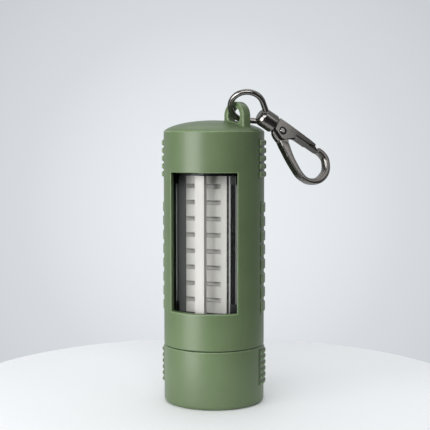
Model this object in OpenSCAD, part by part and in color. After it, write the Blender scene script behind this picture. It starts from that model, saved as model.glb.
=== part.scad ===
// Round fly box: a green casing with a window, a clear tube behind it, a magnetic
// rack that stands on the base cap, and a swivel clasp on a lug.
// Z is up, the underside of the base cap is at z = 0, and the window faces -Y.

/* [Casing] */
// Outer radius of the casing
case_r = 15; // [14.8:0.1:15.4]
// Height of the base cap, up to the seam
cap_h = 17.2; // [17:0.05:17.6]
// Height of the casing at the rim
rim_z = 80.7; // [80.5:0.1:81.5]
// Rise of the domed top above the rim
dome_h = 3.5; // [2.8:0.1:3.6]
// Gap between base cap and shell at the seam
seam = 0.15; // [0.1:0.01:0.3]
// Radius of the shell's bore
bore_r = 13.1; // [13.1:0.05:13.3]

/* [Window] */
// Lower edge of the window
win_lo = 28.2; // [27.5:0.1:28.5]
// Upper edge of the window
win_hi = 69; // [68:0.1:69.2]
// Width of the window, straight across
win_w = 19.9; // [19:0.1:20]
// Shift of the window from the front middle
win_x = -0.3; // [-0.4:0.05:0]

/* [Grips] */
// How far the upper studs and the base studs stand proud
stud_out = 0.58; // [0.4:0.02:0.7]
// How far the long pads at mid height stand proud
pad_out = 0.38; // [0.3:0.02:0.5]
// Pitch of the pads at mid height
pad_pitch = 4.22; // [4.1:0.02:4.3]
// Pitch of the upper studs
stud_pitch = 2.35; // [2.3:0.01:2.4]
// Pitch of the base studs
knurl_pitch = 1.84; // [1.8:0.01:1.9]

/* [Lug] */
// Width of the lug
lug_w = 8.4; // [7.8:0.1:8.6]
// Thickness of the lug
lug_t = 3; // [2.8:0.1:3.1]
// Radius of the lug's hole at its narrowest
lug_hole = 2.45; // [2.4:0.05:2.6]
// Height of the lug's hole
lug_z = 85.35; // [85.3:0.05:85.45]

/* [Tube] */
// Outer radius of the clear tube
tube_r = 12.6; // [12.5:0.05:12.6]
// Wall of the clear tube
tube_wall = 1; // [0.8:0.05:1.1]

/* [Rack] */
// Turn of the rack from the window's middle
rack_turn = -7.5; // [-12:0.5:0]
// Distance from the axis to the panel's face
panel_y = 5.7; // [5.5:0.1:5.8]
// Width of the panel
panel_w = 12.8; // [12.5:0.05:12.9]
// Number of slots in the panel
slots = 8; // [4:1:8]
// Pitch of the slots
slot_pitch = 4.815; // [4.6:0.005:4.83]
// Height of a slot
slot_h = 1.33; // [1:0.01:1.6]
// Width of the white rail
rail_w = 2.85; // [2.6:0.05:3]
// Shift of panel and rail from the rack's middle
panel_x = -0.25; // [-0.3:0.05:-0.2]

/* [Clasp] */
// Wire radius of the ring
wire_r = 0.85; // [0.78:0.01:0.86]
// Radius of the ring's loop, at the middle of the wire
ring_r = 4.8; // [4.7:0.01:4.82]
// Shift of the ring's middle from the clasp's datum, away from the barrel
ring_x = -0.55; // [-0.6:0.05:-0.4]
// Compass direction of the clasp from +X
clasp_turn = 34.3; // [34:0.1:34.6]
// Dip of the clasp below the horizontal
clasp_drop = 31.4; // [31:0.1:32]
// Roll of the ring about the clasp's axis
ring_roll = 39.5; // [39.2:0.1:39.8]
// Roll of the hook about the clasp's axis
hook_roll = -17; // [-30:1:0]
// Radius of the barrel
barrel_r = 2.72; // [2.6:0.02:2.8]
// Distance from the ring's centre to the hook's datum
rivet_s = 12.93; // [12.9:0.01:13]
// Thickness of the hook
hook_t = 3; // [2.8:0.1:3.1]

/* [Hidden] */
$fn = 96;
eps = 0.01;
green = [0.42, 0.49, 0.37];
gun = [0.33, 0.32, 0.31];
black = [0.09, 0.09, 0.09];
spigot_r = bore_r - 0.1;
spigot_top = 24.6;
deck_z = 27.3;
panel_top = 68.05;
head_top = 71.1;
block_r = 11.45;
tube_lo = 25.35;
tube_hi = 77.2;
lug_x = 8.04;
lug_y = -4.45;
lug_turn = 55.5;
ring_c = [11.62, -5.69, 87.87];
rivet_a = -0.67;
rivet_b = -0.89;
root_t = 1.3;
pin_r = 0.85;
cheek_gap = 0.1;

// ---- shared helpers ----

// Height of the dome above the rim at radius r
function dome(r) = dome_h * pow(1 - pow(r / case_r, 2), 0.6);

// Round pad on the casing: centre angle a from -Y, angular width w, height h
module pad(a, w, z, h, out, cut = 0.3, r = case_r) {
    rotate([0, 0, a - w / 2 - 90]) rotate_extrude(angle = w)
        polygon([[r - 0.7, z - h / 2], [r + out - cut, z - h / 2], [r + out, z - h / 2 + cut],
                 [r + out, z + h / 2 - cut], [r + out - cut, z + h / 2], [r - 0.7, z + h / 2]]);
}

// Both sides of the casing
module both_sides() {
    children();
    mirror([1, 0, 0]) children();
}

// Points on a smooth closed curve through p, n steps to each span
function cr(a, b, c, d, t) = 0.5 * (2 * b + (c - a) * t + (2 * a - 5 * b + 4 * c - d) * t * t
                             + (3 * b - a - 3 * c + d) * t * t * t);
function open_curve(p, n) = [for (i = [0 : len(p) - 2], k = [0 : n - 1])
    cr(p[max(i - 1, 0)], p[i], p[i + 1], p[min(i + 2, len(p) - 1)], k / n)];
// A band of varying half width w about the curve through [x, y, w]
function unit(v) = v / norm(v);
function band(q) = let (m = len(q) - 1,
    d = [for (i = [0 : m]) unit([q[min(i + 1, m)][0] - q[max(i - 1, 0)][0],
                                 q[min(i + 1, m)][1] - q[max(i - 1, 0)][1]])])
    concat([for (i = [0 : m]) [q[i][0] - d[i][1] * q[i][2], q[i][1] + d[i][0] * q[i][2]]],
           [for (i = [m : -1 : 0]) [q[i][0] + d[i][1] * q[i][2], q[i][1] - d[i][0] * q[i][2]]]);

// Frame of the clasp: origin at the ring's centre, X towards the hook
module clasp(roll) {
    translate(ring_c) rotate([0, 0, clasp_turn]) rotate([0, clasp_drop, 0])
        rotate([roll, 0, 0]) children();
}
// Frame of the hook: origin beside the rivet, X along the clasp, Y across, Z out of its face
module hook_frame() {
    clasp(hook_roll) translate([rivet_s, 0, 0]) rotate([90, 0, 0]) children();
}
module rack() { rotate([0, 0, rack_turn]) children(); }
module x_cyl(r, a, b) { translate([a, 0, 0]) rotate([0, 90, 0]) cylinder(r = r, h = b - a); }

// ---- base ----

module base_cap() {
    color(green) difference() {
        union() {
            rotate([0, 0, 45]) rotate_extrude() polygon(concat(
                [[0, 0]],
                [for (k = [0 : 6]) let (a = -90 + 15 * k) [case_r - 1.3 + 1.3 * cos(a), 1.3 + 1.3 * sin(a)]],
                [[case_r, cap_h - 0.3], [case_r - 0.3, cap_h], [spigot_r, cap_h],
                 [spigot_r, spigot_top - 0.4], [spigot_r - 0.4, spigot_top], [11, spigot_top],
                 [11, 2.4], [0, 2.4]]));
            // posts for the rack's screws
            rack() for (s = [-1, 1]) translate([6.4 * s, 0, 2]) cylinder(r = 2.3, h = 18.9);
            // side grips
            both_sides() {
                pad(90, 31, 10.8, 12, 0.22, 0.22);
                for (i = [0 : 5], j = [-2 : 2])
                    pad(90 + 5.6 * j, 3.9, 6.2 + knurl_pitch * i, 1.3, stud_out, 0.3);
            }
        }
        // groove of the seal
        rotate_extrude() translate([11.9, 20.2]) square([2, 1.6]);
        rack() for (s = [-1, 1]) translate([6.4 * s, 0, 12.5]) cylinder(r = 0.9, h = 10);
    }
}

module rack_foot() {
    color(black) rack() difference() {
        union() {
            translate([0, 0, 20.95]) cylinder(r = 10.93, h = 3.8);
            translate([0, 0, spigot_top]) cylinder(r = block_r, h = deck_z - spigot_top);
            end_tabs(deck_z - 0.5, 30.3);
        }
        for (s = [-1, 1]) translate([6.4 * s, 0, 20]) {
            cylinder(r = 1.2, h = 10);
            translate([0, 0, 3.2]) cylinder(r = 2.1, h = 10);
        }
        // socket of the rail
        translate([panel_x - rail_w / 2 - 0.03, -11.13, 25.4]) cube([rail_w + 0.06, 2.06, 3]);
        // screws into the panel from below
        for (s = [-1, 1]) translate([3.6 * s, -4.35, 20]) {
            cylinder(r = 0.75, h = 10);
            cylinder(r = 1.35, h = 3.4);
        }
        // sockets of the side bars
        for (x = bar_x) translate([x, -4.95, deck_z - 1.4]) cylinder(r = 0.53, h = 2);
    }
}

// Corner tabs of the rack's end blocks, in front of the side bars, between two heights
module end_tabs(lo, hi) {
    translate([7.45, -6.25, lo]) cube([1.8, 0.53, hi - lo]);
    translate([-9.75, -6.1, lo]) cube([0.85, 0.38, hi - lo]);
}

// Where the pegs of the side bars sit
bar_x = [-8.4, 7.95];

// Bars at both sides of the panel, with chamfered fronts, pegged into the end blocks
module side_bars() {
    color(black) rack() {
        translate([0, 0, deck_z]) linear_extrude(panel_top - deck_z)
            polygon([[6.6, -4.2], [6.6, -5.1], [7.35, -5.7], [8.89, -5.7], [9.3, -5.2], [9.3, -4.2]]);
        translate([0, 0, deck_z]) linear_extrude(panel_top - deck_z)
            polygon([[-10.1, -4.2], [-10.25, -5.1], [-10.02, -5.5], [-9.6, -5.7], [-7.05, -5.7], [-6.75, -5.4],
                     [-6.75, -4.2]]);
        for (x = bar_x) translate([x, -4.95, deck_z - 1.2]) cylinder(r = 0.5, h = panel_top - deck_z + 2.4);
    }
}

module foot_screws() {
    color("silver") rack() for (s = [-1, 1]) translate([6.4 * s, 0, 0]) screw(0.9, 1.9, 14.5, 23.25, 1.2);
}

// Screw with shank radius r, head radius h, from z0 up to its head at z1
module screw(r, h, z0, z1, head) {
    difference() {
        union() {
            translate([0, 0, z0]) cylinder(r = r, h = z1 - z0 + eps);
            translate([0, 0, z1]) cylinder(r1 = h, r2 = h * 0.86, h = head);
        }
        for (q = [0, 90]) translate([0, 0, z1 + head]) rotate([0, 0, q])
            cube([h * 1.2, h * 0.25, head], center = true);
    }
}

module rack_panel() {
    color([0.73, 0.72, 0.71]) rack() difference() {
        translate([panel_x - panel_w / 2, -panel_y, deck_z]) cube([panel_w, 2.7, panel_top - deck_z]);
        for (k = [0 : slots - 1])
            translate([-1.2, -panel_y - 9.7, 64.85 - slot_pitch * k - slot_h / 2]) cylinder(r = 11.2, h = slot_h);
        for (k = [0 : 3]) translate([-4.6, -4.05, 30.2 + 9.3 * k]) cube([9.2, 2, 7.2]);
        for (z = [29, 38.6, 57.2, 66.5], s = [-1, 1]) if (z != 38.6 && z != 57.2)
            translate([4.9 * s, -3.9, z - 0.0]) rotate([-90, 0, 0]) cylinder(r = 0.45, h = 3);
        for (s = [-1, 1]) translate([3.6 * s, -4.35, deck_z - 1]) cylinder(r = 0.5, h = 2.4);
        for (s = [-1, 1]) translate([3.6 * s, -4.35, panel_top - 0.8]) cylinder(r = 0.5, h = 2.4);
    }
}

module panel_magnets() {
    color([0.62, 0.63, 0.65]) rack() for (k = [0 : 3])
        translate([-4.55, -4.0, 30.25 + 9.3 * k]) cube([9.1, 0.95, 7.1]);
}

module magnet_cover() {
    color([0.2, 0.2, 0.2]) rack() difference() {
        translate([panel_x - panel_w / 2, -3, deck_z + 0.1]) cube([panel_w, 0.9, panel_top - deck_z - 0.2]);
        for (z = [29, 66.5], s = [-1, 1]) translate([4.9 * s, -3.5, z]) rotate([-90, 0, 0]) cylinder(r = 0.6, h = 3);
    }
}

module cover_screws() {
    color("silver") rack() for (z = [29, 66.5], s = [-1, 1])
        translate([4.9 * s, -3, z]) rotate([-90, 0, 0]) screw(0.45, 0.95, -0.8, 0.9, 0.5);
}

module magnet_rail() {
    color([0.93, 0.93, 0.91]) rack() translate([panel_x, 0, 0]) difference() {
        translate([-rail_w / 2, -11.1, 25.5]) cube([rail_w, 2, 44.4]);
        translate([-0.85, -10.1, 29]) cube([1.7, 2, 37]);
    }
}

module rail_magnet() {
    color([0.25, 0.25, 0.26]) rack() translate([panel_x - 0.82, -10.08, 29.05]) cube([1.64, 0.9, 36.9]);
}

module rack_head() {
    color(black) rack() difference() {
        union() {
            translate([0, 0, panel_top]) cylinder(r = block_r, h = head_top - panel_top);
            end_tabs(65.5, panel_top + 0.5);
        }
        translate([panel_x - rail_w / 2 - 0.03, -11.13, panel_top - 3]) cube([rail_w + 0.06, 2.06, 5.0]);
        for (s = [-1, 1]) translate([3.6 * s, -4.35, panel_top - 5]) {
            cylinder(r = 0.75, h = 10);
            translate([0, 0, 6.9]) cylinder(r = 1.35, h = 5);
        }
        for (x = bar_x) translate([x, -4.95, panel_top - 0.6]) cylinder(r = 0.53, h = 2);
    }
}

module head_screws() {
    color("silver") rack() {
        for (s = [-1, 1]) translate([3.6 * s, -4.35, 0]) {
            screw(0.5, 1.2, panel_top - 0.65, panel_top + 1.95, 0.9);
            // the pair at the foot, heads down
            mirror([0, 0, 1]) screw(0.5, 1.2, -28.5, -23.3, 0.9);
        }
    }
}

module o_ring() {
    color([0.13, 0.13, 0.13]) rotate_extrude() translate([12.49, 21]) circle(r = 0.53, $fn = 48);
}

// ---- shell ----

// Outer solid of the shell, without the lug and the grips
module shell_skin() {
    rotate([0, 0, 45]) rotate_extrude() polygon(concat(
        [[0, cap_h + seam], [case_r - 0.3, cap_h + seam], [case_r, cap_h + seam + 0.3]],
        [for (k = [0 : 15]) let (r = case_r * cos(6 * k)) [r, rim_z + dome(r)]]));
}

module lug() {
    translate([lug_x, lug_y, 0]) rotate([0, 0, lug_turn]) {
        translate([-lug_t / 2, 0, lug_z]) rotate([0, 90, 0]) cylinder(r = lug_w / 2, h = lug_t);
        translate([-lug_t / 2, -lug_w / 2, rim_z - 1]) cube([lug_t, lug_w, lug_z - rim_z + 1]);
    }
}

// Hole of the lug, narrowest at mid thickness, with a rounded rim on both faces
module lug_bore() {
    c = 0.5;
    translate([lug_x, lug_y, lug_z]) rotate([0, 0, lug_turn]) rotate([0, 90, 0]) rotate_extrude()
        polygon(concat([[0, -lug_t / 2 - 0.02]],
            [for (k = [0 : 5]) [lug_hole + c - c * sin(15 * k + 15), -lug_t / 2 - 0.02 + c - c * cos(15 * k + 15)]],
            [for (k = [5 : -1 : 0]) [lug_hole + c - c * sin(15 * k + 15), lug_t / 2 + 0.02 - c + c * cos(15 * k + 15)]],
            [[0, lug_t / 2 + 0.02]]));
}

module outer_shell() {
    color(green) difference() {
        union() {
            shell_skin();
            lug();
            both_sides() {
                for (i = [0 : 4], j = [-1, 1]) pad(90 + 8 * j, 13.6, 77.58 - 2.33 * i, 1.9, stud_out, 0.4);
                for (i = [0 : 7]) pad(90, 20, 58.43 - pad_pitch * i, 3.35, pad_out, 0.3);
            }
        }
        translate([0, 0, 10]) cylinder(r = bore_r, h = 78 - 10);
        translate([win_x - win_w / 2, -16, win_lo]) cube([win_w, 8, win_hi - win_lo]);
        lug_bore();
    }
}

module clear_tube() {
    color([0.85, 0.9, 0.9, 0.35]) translate([0, 0, tube_lo]) difference() {
        cylinder(r = tube_r, h = tube_hi - tube_lo);
        translate([0, 0, -1]) cylinder(r = tube_r - tube_wall, h = tube_hi - tube_lo + 2);
    }
}

module tube_gaskets() {
    color([0.16, 0.16, 0.16]) for (z = [24.8, tube_hi]) translate([0, 0, z]) difference() {
        cylinder(r = bore_r, h = z > 50 ? 78 - tube_hi : tube_lo - 24.8);
        translate([0, 0, -1]) cylinder(r = 11.7, h = 3);
    }
}

module back_liner() {
    color([0.1, 0.1, 0.1]) rotate([0, 0, 12]) rotate_extrude(angle = 156)
        translate([tube_r + 0.05, tube_lo + 0.2]) square([bore_r - tube_r - 0.1, tube_hi - tube_lo - 0.4]);
}

// ---- clasp ----

leg_a = 55.4;
leg_dir = [sin(leg_a), -cos(leg_a)];
module leg(s, r, len) {
    translate([ring_x + ring_r * cos(leg_a), 0, s * ring_r * sin(leg_a)])
        rotate([0, atan2(s * -leg_dir[1], leg_dir[0]), 0]) x_cyl(r, -0.25, len);
}
leg_len = 4.75;

module clasp_ring() {
    color(gun) clasp(ring_roll) union() {
        translate([ring_x, 0, 0]) rotate([90, 0, 0]) rotate([0, 0, leg_a]) rotate_extrude(angle = 360 - 2 * leg_a)
            translate([ring_r, 0]) circle(r = wire_r, $fn = 48);
        for (s = [-1, 1]) leg(s, wire_r - 0.02, leg_len);
    }
}

module swivel_barrel() {
    color(gun) clasp(ring_roll) difference() {
        rotate([0, 90, 0]) rotate_extrude() polygon([[0, 3.95], [1.55, 3.95], [2.2, 4.35], [barrel_r, 5.1],
            [barrel_r, 9.15], [barrel_r - 0.3, 9.5], [0, 9.5]]);
        for (s = [-1, 1]) leg(s, wire_r, leg_len + 0.05);
        x_cyl(1.15, 8, 12);
        x_cyl(1.95, 7, 8.45);
    }
}

// Middle line of the spine and the curved end of the hook, [along, across, half width]
spine = [[0.9, -3.2, 1.5], [2.57, -4.49, 1.16], [5.12, -6.5, 0.91], [7.58, -8.05, 0.81], [10.11, -9.37, 0.72],
         [12.55, -9.73, 0.68], [14.66, -9.06, 0.76], [16.5, -7.5, 0.96], [17.52, -5.39, 1.04], [17.73, -3.39, 0.98],
         [17.11, -1.61, 0.96], [15.98, -0.09, 0.92], [14.24, 0.61, 0.86], [12.63, 0.71, 0.8], [11, 0.72, 0.74]];

module hook_body() {
    color(gun) {
        hook_frame() difference() {
            union() {
                // spine, curved end and nose, clear of the gate's cheeks and of its lip
                difference() {
                    translate([0, 0, -hook_t / 2]) linear_extrude(hook_t) polygon(band(open_curve(spine, 6)));
                    translate([rivet_a, rivet_b, -3]) cylinder(r = 3.05, h = 6);
                    translate([-5, -3, -3]) cube([12, 9, 6]);
                    translate([0, 0, -3]) linear_extrude(6)
                        polygon([[10, 3], [11.25, 3], [11.25, 1.38], [12.95, 0.05], [12.95, -2], [10, -2]]);
                }
                // thin root between the gate's cheeks
                translate([0, 0, -root_t / 2]) linear_extrude(root_t)
                    polygon([[-3.6, 0.9], [-2.6, 0.95], [-1, 0.95], [0.4, 0.5], [1.4, -0.2], [2, -1.2], [2.9, -2.6],
                             [3.1, -3.6], [2.4, -4.9], [0.6, -4.2], [-0.5, -4.3], [-1.7, -3.85], [-2.7, -3.1],
                             [-3.15, -2.2], [-3.1, -1], [-3.3, -0.9], [-3.6, -0.9]]);
            }
            // pocket of the spring
            translate([rivet_a, rivet_b, -0.25]) cylinder(r = 1.55, h = 3);
            translate([rivet_a, rivet_b, -3]) cylinder(r = pin_r, h = 6);
        }
        clasp(hook_roll) x_cyl(1.1, 7.3, rivet_s - 3.32);
    }
}

module stem_washer() {
    color([0.5, 0.49, 0.47]) clasp(hook_roll) difference() {
        x_cyl(1.75, 7.6, 8.3);
        x_cyl(1.1, 7, 9);
    }
}

module gate_rivet() {
    color([0.6, 0.58, 0.56]) hook_frame() translate([rivet_a, rivet_b, 0]) {
        translate([0, 0, -1.35]) cylinder(r = pin_r, h = 2.7);
        for (s = [0, 1]) mirror([0, 0, s]) translate([0, 0, 1.3]) intersection() {
            cylinder(r = 0.95, h = 1);
            translate([0, 0, -1.3]) sphere(r = 1.55);
        }
    }
}

module gate_spring() {
    color([0.7, 0.7, 0.7]) hook_frame() translate([rivet_a, rivet_b, 0]) {
        for (z = [-0.05, 0.36]) translate([0, 0, z]) rotate_extrude() translate([1.22, 0]) circle(r = 0.19, $fn = 24);
        // the pair of turns is closed by a short riser
        translate([1.22, 0, -0.05]) cylinder(r = 0.19, h = 0.41, $fn = 24);
    }
}

// Outline of the gate: cheek, bar, and a lip that closes against the inside of the hook's nose
gate = [[-2.93, 2.15], [-3.05, -1.7], [0.03, -3.08], [0.75, -2.95], [1.34, -2.5], [2.2, -1.65], [3.13, -0.85],
        [3.94, -0.3], [4.8, -0.04], [6.98, -0.05], [12.45, -0.1], [12.55, 0.02], [11.3, 1], [10.85, 1.05],
        [10.85, 1.52], [8.55, 1.76], [4.56, 1.95], [0.65, 2.13]];

module gate_lever() {
    color(gun) hook_frame() difference() {
        translate([0, 0, -hook_t / 2]) linear_extrude(hook_t) polygon(gate);
        // slot for the hook's root, with the cheeks left on both sides
        translate([0, 0, -root_t / 2 - cheek_gap]) linear_extrude(root_t + 2 * cheek_gap)
            polygon([[-4, 4], [-4, -5], [6.5, -5], [4.6, -0.9], [4.3, 0.6], [3.3, 1.4], [1.6, 1.6], [-0.2, 1.75], [-2, 4]]);
        // holes of the rivet and seats of its heads
        translate([rivet_a, rivet_b, -3]) cylinder(r = pin_r + 0.05, h = 6);
        for (s = [0, 1]) mirror([0, 0, s]) translate([rivet_a, rivet_b, hook_t / 2 - 0.28]) cylinder(r = 1.22, h = 1);
        // the lip is thinner than the bar
        for (s = [0, 1]) mirror([0, 0, s]) translate([0, 0, hook_t / 2 - 0.35]) linear_extrude(1)
            polygon([[8.7, 0.45], [10.7, 0.92], [10.95, 1.03], [13.5, 1.6], [13.5, -1], [8.7, -1]]);
    }
}

base_cap();
rack_foot();
foot_screws();
rack_panel();
panel_magnets();
magnet_cover();
cover_screws();
magnet_rail();
rail_magnet();
side_bars();
rack_head();
head_screws();
o_ring();
outer_shell();
clear_tube();
tube_gaskets();
back_liner();
clasp_ring();
swivel_barrel();
hook_body();
stem_washer();
gate_rivet();
gate_spring();
gate_lever();
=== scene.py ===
import math

import bmesh
import bpy
import numpy as np
from mathutils import Euler, Matrix, Vector


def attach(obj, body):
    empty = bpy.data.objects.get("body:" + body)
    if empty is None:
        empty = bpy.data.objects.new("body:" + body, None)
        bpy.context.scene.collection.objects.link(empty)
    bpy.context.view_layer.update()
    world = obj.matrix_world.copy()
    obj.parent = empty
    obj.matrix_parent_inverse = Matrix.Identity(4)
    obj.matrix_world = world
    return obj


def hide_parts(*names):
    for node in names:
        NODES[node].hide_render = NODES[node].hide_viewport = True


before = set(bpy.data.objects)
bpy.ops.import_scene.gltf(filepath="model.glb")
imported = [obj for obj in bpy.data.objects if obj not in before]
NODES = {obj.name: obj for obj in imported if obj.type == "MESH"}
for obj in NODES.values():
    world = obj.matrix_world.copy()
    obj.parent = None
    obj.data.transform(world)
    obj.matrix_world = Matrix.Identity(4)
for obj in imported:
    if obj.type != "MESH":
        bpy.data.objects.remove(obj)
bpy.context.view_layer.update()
MM = 0.001
scene = bpy.context.scene

# ------------------------------------------------------------------ sizes, in mm
R = 15.0
CAP_H = 17.2
SEAM = 0.15
RIM = 80.7
DOME_H = 3.5
BORE = 13.1
WIN_LO, WIN_HI = 28.2, 69.0
WIN_X0, WIN_X1 = -10.25, 9.65
CLASP_C = np.array([11.62, -5.69, 87.87])
CLASP_TURN, CLASP_DROP = math.radians(34.3), math.radians(31.4)
RING_ROLL, HOOK_ROLL = math.radians(39.5), math.radians(-17.0)
RIVET_S, RIVET_A, RIVET_B = 12.93, -0.67, -0.89
RING_R, RING_X, WIRE_R = 4.8, -0.55, 0.85
BARREL_R = 2.72
HOOK_T = 3.0
LUG = np.array([8.04, -4.45, 85.35])
LUG_TURN = math.radians(55.5)
LUG_W, LUG_T, LUG_HOLE = 8.4, 3.0, 2.45


def dome(r):
    return DOME_H * np.clip(1 - (np.minimum(r, R) / R) ** 2, 0, 1) ** 0.6


# ------------------------------------------------------------------ camera
def make_camera():
    cam = bpy.data.cameras.new("Camera")
    ob = bpy.data.objects.new("Camera", cam)
    scene.collection.objects.link(ob)
    a = math.radians(13.5)
    x, y, z = 0.296, -320.0, 80.616
    ob.location = (MM * (x * math.cos(a) - y * math.sin(a)), MM * (x * math.sin(a) + y * math.cos(a)), MM * z)
    ob.rotation_euler = Euler((math.radians(90 - 4.41), 0, a), "XYZ")
    cam.sensor_width = 36
    cam.lens = 1071.26 * 36 / 430
    cam.clip_start, cam.clip_end = 0.01, 20
    scene.camera = ob


make_camera()


# ------------------------------------------------------------------ mesh helpers
def new_object(name, verts, faces, body, stands_for=(), material=None, attr=None, smooth=True, merge=None):
    """verts in mm, in the row frame."""
    me = bpy.data.meshes.new(name)
    me.from_pydata([tuple(v) for v in np.asarray(verts, float) * MM], [], [tuple(int(i) for i in f) for f in faces])
    if attr is not None:
        at = me.attributes.new("edge", "FLOAT", "POINT")
        at.data.foreach_set("value", np.asarray(attr, np.float32))
    bm = bmesh.new()
    bm.from_mesh(me)
    if merge:
        bmesh.ops.remove_doubles(bm, verts=bm.verts, dist=merge * MM)
    bmesh.ops.recalc_face_normals(bm, faces=bm.faces)
    bm.to_mesh(me)
    bm.free()
    for p in me.polygons:
        p.use_smooth = smooth
    me.update()
    ob = bpy.data.objects.new(name, me)
    scene.collection.objects.link(ob)
    if material is not None:
        me.materials.append(material)
    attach(ob, body)
    if stands_for:
        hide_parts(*stands_for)
    return ob


def grid_faces(rows, cols, closed_rows=False, closed_cols=False, base=0, skip=None):
    out = []
    for i in range(rows if closed_rows else rows - 1):
        for j in range(cols if closed_cols else cols - 1):
            if skip is not None and skip(i, j):
                continue
            i2, j2 = (i + 1) % rows, (j + 1) % cols
            out.append((base + i * cols + j, base + i * cols + j2, base + i2 * cols + j2, base + i2 * cols + j))
    return out


def smoothstep(x):
    x = np.clip(x, 0, 1)
    return x * x * (3 - 2 * x)


def soft_box(d, half, soft):
    """1 inside, 0 outside, over a soft edge that ends at half."""
    return smoothstep((half - np.abs(d)) / soft)


def bevel(ob, width, segments=2, angle=35):
    m = ob.modifiers.new("edges", "BEVEL")
    m.width = width * MM
    m.segments = segments
    m.limit_method = "ANGLE"
    m.angle_limit = math.radians(angle)
    m.harden_normals = False
    m.use_clamp_overlap = True
    return m


def catmull(points, n):
    p = [np.array(q, float) for q in points]
    out = []
    for i in range(len(p) - 1):
        a, b, c, d = p[max(i - 1, 0)], p[i], p[i + 1], p[min(i + 2, len(p) - 1)]
        for k in range(n):
            t = k / n
            out.append(0.5 * (2 * b + (c - a) * t + (2 * a - 5 * b + 4 * c - d) * t * t + (3 * b - a - 3 * c + d) * t ** 3))
    out.append(p[-1])
    return np.array(out)


# ------------------------------------------------------------------ frames of the clasp
def rot(axis, t):
    return np.array(Matrix.Rotation(t, 3, axis))


M_TURN = rot("Z", CLASP_TURN) @ rot("Y", CLASP_DROP)
M_RING = M_TURN @ rot("X", RING_ROLL)
M_HOOK = M_TURN @ rot("X", HOOK_ROLL)


def ring_frame(p):
    return np.asarray(p, float) @ M_RING.T + CLASP_C


def spin_frame(p):
    return np.asarray(p, float) @ M_HOOK.T + CLASP_C


def hook_frame(p):
    """X along the clasp from beside the rivet, Y across, Z out of the hook's face."""
    p = np.asarray(p, float)
    q = np.stack([p[..., 0] + RIVET_S, -p[..., 2], p[..., 1]], -1)
    return q @ M_HOOK.T + CLASP_C


# ------------------------------------------------------------------ materials
def nodes_of(name):
    mat = bpy.data.materials.new(name)
    mat.use_nodes = True
    nt = mat.node_tree
    nt.nodes.clear()
    out = nt.nodes.new("ShaderNodeOutputMaterial")
    bsdf = nt.nodes.new("ShaderNodeBsdfPrincipled")
    nt.links.new(bsdf.outputs[0], out.inputs[0])
    return mat, nt, bsdf, out


def coords(nt, scale=(1, 1, 1)):
    tc = nt.nodes.new("ShaderNodeTexCoord")
    mp = nt.nodes.new("ShaderNodeMapping")
    mp.inputs["Scale"].default_value = scale
    nt.links.new(tc.outputs["Object"], mp.inputs["Vector"])
    return mp.outputs["Vector"]


def noise(nt, vec, scale, detail=2.0, rough=0.5):
    n = nt.nodes.new("ShaderNodeTexNoise")
    n.inputs["Scale"].default_value = scale
    n.inputs["Detail"].default_value = detail
    n.inputs["Roughness"].default_value = rough
    nt.links.new(vec, n.inputs["Vector"])
    return n.outputs["Fac"]


def ramp(nt, fac, stops):
    r = nt.nodes.new("ShaderNodeValToRGB")
    el = r.color_ramp.elements
    while len(el) < len(stops):
        el.new(0.5)
    for e, (pos, col) in zip(el, stops):
        e.position = pos
        e.color = (*col, 1) if len(col) == 3 else col
    nt.links.new(fac, r.inputs["Fac"])
    return r.outputs["Color"]


def maprange(nt, fac, a, b, c, d):
    m = nt.nodes.new("ShaderNodeMapRange")
    for k, v in zip(("From Min", "From Max", "To Min", "To Max"), (a, b, c, d)):
        m.inputs[k].default_value = v
    nt.links.new(fac, m.inputs["Value"])
    return m.outputs["Result"]


def bump(nt, height, strength, distance, normal=None):
    b = nt.nodes.new("ShaderNodeBump")
    b.inputs["Strength"].default_value = strength
    b.inputs["Distance"].default_value = distance
    nt.links.new(height, b.inputs["Height"])
    if normal is not None:
        nt.links.new(normal, b.inputs["Normal"])
    return b.outputs["Normal"]


def mix(nt, fac, a, b, mode="MIX"):
    m = nt.nodes.new("ShaderNodeMix")
    m.data_type = "RGBA"
    m.blend_type = mode
    for s, v in ((0, fac), (6, a), (7, b)):
        if hasattr(v, "links") or hasattr(v, "is_linked"):
            nt.links.new(v, m.inputs[s])
        else:
            m.inputs[s].default_value = v if s == 0 else (*v, 1)
    return m.outputs[2]


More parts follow.
